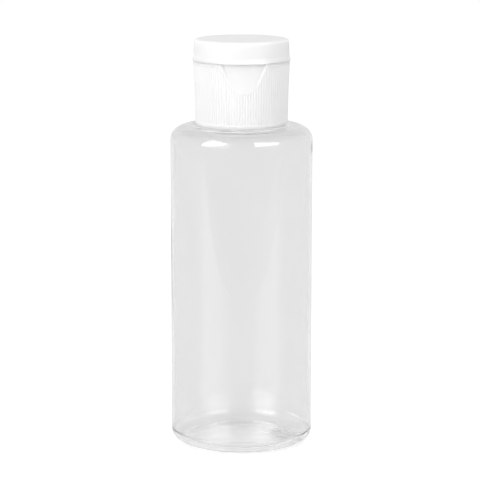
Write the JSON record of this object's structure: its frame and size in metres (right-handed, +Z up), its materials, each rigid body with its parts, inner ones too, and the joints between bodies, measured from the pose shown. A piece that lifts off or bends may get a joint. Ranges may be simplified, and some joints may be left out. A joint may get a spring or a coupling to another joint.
{
  "type": "bottle",
  "caption": "Clear cylinder bottle with a round shoulder and a white ribbed screw-on flip-top closure with a thumb recess.",
  "frame": {"origin": "centre of the base, on the surface that the bottle stands on", "axes": "+Z up along the bottle's axis, -Y towards the thumb recess, +Y towards the hinge"},
  "size_m": [0.0406, 0.0406, 0.116],
  "materials": {
    "clear_body": "clear blown PET, polished",
    "white_closure": "white moulded polypropylene, satin",
    "liner_foam": "foamed polyethylene liner"
  },
  "bodies": {
    "bottle": {"bottle": "clear_body"},
    "seal": {"sealing_washer": "liner_foam"},
    "closure": {"closure_base": "white_closure", "hinge_strap_left": "white_closure", "hinge_strap_right": "white_closure", "hinge_spring": "white_closure"},
    "lid": {"lid": "white_closure"}
  },
  "joints": [
    {"name": "cap_rise", "type": "slide", "parent": "bottle", "child": "seal", "axis": [0, 0, 1], "range_m": [0, 0.01905]},
    {"name": "cap_turn", "type": "hinge", "parent": "seal", "child": "closure", "pos_m": [0, 0, 0.1083], "axis": [0, 0, 1], "range_deg": [0, 2160]},
    {"name": "lid_hinge", "type": "hinge", "parent": "closure", "child": "lid", "pos_m": [0, 0.01375, 0.10985], "axis": [-1, 0, 0], "range_deg": [0, 178], "deforming": ["hinge_strap_left", "hinge_strap_right", "hinge_spring"]}
  ],
  "couplings": [
    {"joint": "cap_rise", "follows": "cap_turn", "m_per_rad": 0.00050532}
  ]
}
